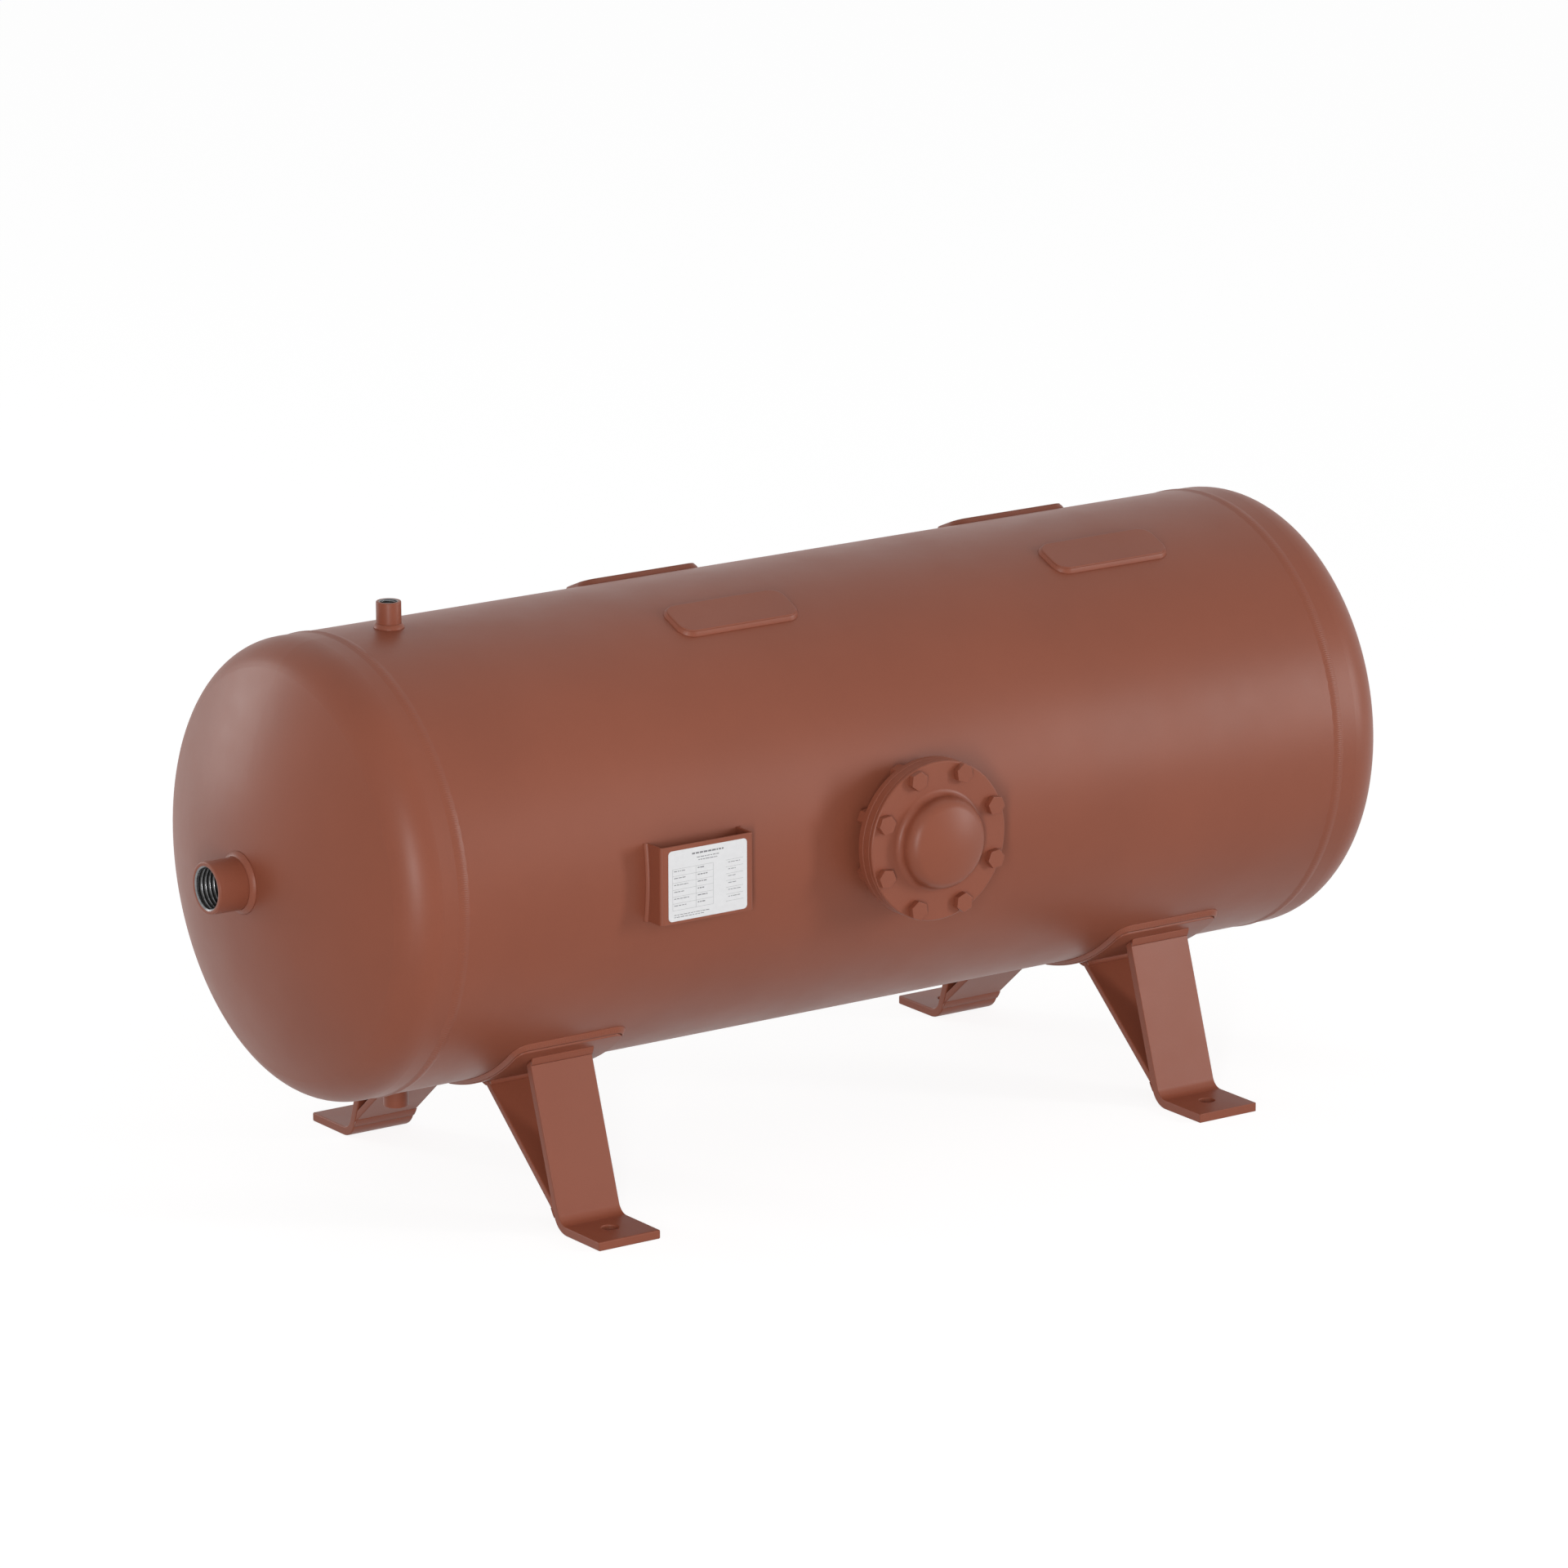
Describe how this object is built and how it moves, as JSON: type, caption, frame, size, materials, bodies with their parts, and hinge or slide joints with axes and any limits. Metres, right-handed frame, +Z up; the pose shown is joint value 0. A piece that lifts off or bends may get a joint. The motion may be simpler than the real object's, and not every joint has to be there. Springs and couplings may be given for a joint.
{
  "type": "air receiver tank",
  "caption": "Horizontal welded air receiver with dished heads, bolted handhole, threaded ports, mounting pads on top and bent-bar legs.",
  "frame": {"origin": "on the floor, midway between the four foot bolt holes", "axes": "+X along the tank, -Y towards the handhole and nameplate side, +Z up"},
  "size_m": [1.4778, 0.6076, 0.6595],
  "materials": {
    "red_oxide_primer": "matt red-brown primer",
    "painted_weld": "rippled bead under the same primer",
    "painted_fastener": "painted hexagon heads and nuts",
    "painted_socket": "primer outside, bare steel thread inside",
    "gasket_rubber": "matt black",
    "label_film": "satin pale film"
  },
  "bodies": {
    "root": {"bottom_socket": "painted_socket", "bottom_socket_weld": "painted_weld", "brace_front_left": "red_oxide_primer", "brace_front_right": "red_oxide_primer", "brace_rear_left": "red_oxide_primer", "brace_rear_right": "red_oxide_primer", "end_socket_left": "painted_socket", "end_socket_right": "painted_socket", "end_socket_weld_left": "painted_weld", "end_socket_weld_right": "painted_weld", "handhole_backing_ring": "red_oxide_primer", "handhole_bolts": "painted_fastener", "handhole_cover": "red_oxide_primer", "handhole_flange": "red_oxide_primer", "handhole_flange_weld": "painted_weld", "handhole_gasket": "gasket_rubber", "handhole_neck": "red_oxide_primer", "handhole_neck_weld": "painted_weld", "handhole_nuts": "painted_fastener", "head_left": "red_oxide_primer", "head_right": "red_oxide_primer", "leg_front_left": "red_oxide_primer", "leg_front_right": "red_oxide_primer", "leg_rear_left": "red_oxide_primer", "leg_rear_right": "red_oxide_primer", "leg_weld_front_left": "painted_weld", "leg_weld_front_right": "painted_weld", "leg_weld_rear_left": "painted_weld", "leg_weld_rear_right": "painted_weld", "mount_pad_front_left": "red_oxide_primer", "mount_pad_front_right": "red_oxide_primer", "mount_pad_rear_left": "red_oxide_primer", "mount_pad_rear_right": "red_oxide_primer", "mount_pad_weld_front_left": "painted_weld", "mount_pad_weld_front_right": "painted_weld", "mount_pad_weld_rear_left": "painted_weld", "mount_pad_weld_rear_right": "painted_weld", "nameplate_bracket": "red_oxide_primer", "nameplate_bracket_welds": "painted_weld", "nameplate_label": "label_film", "saddle_pad_front_left": "red_oxide_primer", "saddle_pad_front_right": "red_oxide_primer", "saddle_pad_rear_left": "red_oxide_primer", "saddle_pad_rear_right": "red_oxide_primer", "saddle_weld_front_left": "painted_weld", "saddle_weld_front_right": "painted_weld", "saddle_weld_rear_left": "painted_weld", "saddle_weld_rear_right": "painted_weld", "seam_weld_left": "painted_weld", "seam_weld_right": "painted_weld", "shell": "red_oxide_primer", "shell_seam_weld": "painted_weld", "top_socket": "painted_socket", "top_socket_weld": "painted_weld"}
  },
  "joints": []
}
